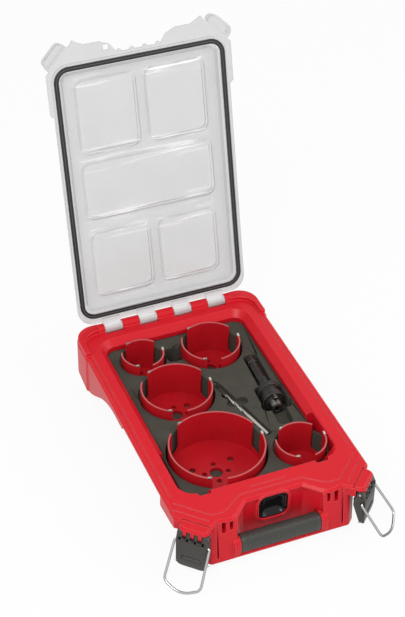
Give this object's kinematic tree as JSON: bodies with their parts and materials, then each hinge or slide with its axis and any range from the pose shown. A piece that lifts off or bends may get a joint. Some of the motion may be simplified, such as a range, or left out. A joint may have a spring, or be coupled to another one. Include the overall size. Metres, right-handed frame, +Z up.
{
  "type": "tool storage case",
  "caption": "Shallow stackable tool case with a clear hinged lid, corner latches and a foam insert that holds hole saws, an arbor and a pilot bit.",
  "frame": {"origin": "on the surface that the case stands on, below the middle of the case's width", "axes": "+X to the case's right, -Y to the front handle and +Y to the hinge, +Z up"},
  "size_m": [0.2878, 0.4985, 0.4335],
  "materials": {
    "red_plastic": "moulded, light satin texture",
    "black_plastic": "moulded, satin",
    "clear_plastic": "clear, polished",
    "gasket_rubber": "matt",
    "chrome_wire": "bright plated wire",
    "steel": "ground",
    "foam": "closed-cell foam",
    "red_steel": "gloss enamel",
    "carbide": "ground carbide",
    "black_steel": "black oxide",
    "bright_steel": "bright ground"
  },
  "bodies": {
    "case": {"case_body": "red_plastic", "handle_grip": "black_plastic", "hinge_pin": "steel", "foam_insert": "foam", "latch_pin_left": "steel", "latch_pin_right": "steel"},
    "lid": {"lid_shell": "clear_plastic", "lid_gasket": "gasket_rubber"},
    "button": {"release_button": "black_plastic", "lock_tongue": "black_plastic"},
    "lever_right": {"latch_lever_right": "black_plastic"},
    "lever_left": {"latch_lever_left": "black_plastic"},
    "bail_right": {"wire_bail_right": "chrome_wire"},
    "bail_left": {"wire_bail_left": "chrome_wire"},
    "arbor": {"arbor_body": "black_steel", "arbor_collar": "black_steel", "arbor_shank": "black_steel", "drive_pin_1": "steel", "drive_pin_2": "steel"},
    "pilot": {"pilot_bit": "bright_steel"},
    "cup_large": {"saw_large": "red_steel", "tooth_large_1": "carbide", "tooth_large_2": "carbide", "tooth_large_3": "carbide"},
    "cup_medium": {"saw_medium": "red_steel", "tooth_medium_1": "carbide", "tooth_medium_2": "carbide", "tooth_medium_3": "carbide"},
    "cup_standard": {"saw_standard": "red_steel", "tooth_standard_1": "carbide", "tooth_standard_2": "carbide", "tooth_standard_3": "carbide"},
    "cup_small": {"saw_small": "red_steel", "tooth_small_1": "carbide", "tooth_small_2": "carbide", "tooth_small_3": "carbide"},
    "cup_compact": {"saw_compact": "red_steel", "tooth_compact_1": "carbide", "tooth_compact_2": "carbide", "tooth_compact_3": "carbide"}
  },
  "joints": [
    {"name": "lid_hinge", "type": "hinge", "parent": "case", "child": "lid", "pos_m": [0, 0.18, 0.0683], "axis": [-1, 0, 0], "range_deg": [-103.4, 0]},
    {"name": "button_press", "type": "slide", "parent": "case", "child": "button", "axis": [0, 1, 0], "range_m": [0, 0.004], "stiffness_N_per_m": 500},
    {"name": "lever_right_lift", "type": "hinge", "parent": "case", "child": "lever_right", "pos_m": [0.10571, -0.18137, 0.0584], "axis": [-0.7071, -0.7071, 0], "range_deg": [0, 70]},
    {"name": "bail_right_swing", "type": "hinge", "parent": "lever_right", "child": "bail_right", "pos_m": [0.10819, -0.18385, 0.047], "axis": [0.7071, 0.7071, 0], "range_deg": [-157, 0]},
    {"name": "lever_left_lift", "type": "hinge", "parent": "case", "child": "lever_left", "pos_m": [-0.10571, -0.18137, 0.0584], "axis": [-0.7071, 0.7071, 0], "range_deg": [0, 70]},
    {"name": "bail_left_swing", "type": "hinge", "parent": "lever_left", "child": "bail_left", "pos_m": [-0.10819, -0.18385, 0.047], "axis": [0.7071, -0.7071, 0], "range_deg": [-157, 0]},
    {"name": "lift_large_cup", "type": "slide", "parent": "case", "child": "cup_large", "axis": [0, 0, 1], "range_m": [0, 0.06]},
    {"name": "lift_medium_cup", "type": "slide", "parent": "case", "child": "cup_medium", "axis": [0, 0, 1], "range_m": [0, 0.06]},
    {"name": "lift_standard_cup", "type": "slide", "parent": "case", "child": "cup_standard", "axis": [0, 0, 1], "range_m": [0, 0.06]},
    {"name": "lift_small_cup", "type": "slide", "parent": "case", "child": "cup_small", "axis": [0, 0, 1], "range_m": [0, 0.06]},
    {"name": "lift_compact_cup", "type": "slide", "parent": "case", "child": "cup_compact", "axis": [0, 0, 1], "range_m": [0, 0.06]},
    {"name": "lift_arbor", "type": "slide", "parent": "case", "child": "arbor", "axis": [0, 0, 1], "range_m": [0, 0.06]},
    {"name": "lift_pilot_bit", "type": "slide", "parent": "case", "child": "pilot", "axis": [0, 0, 1], "range_m": [0, 0.06]}
  ]
}
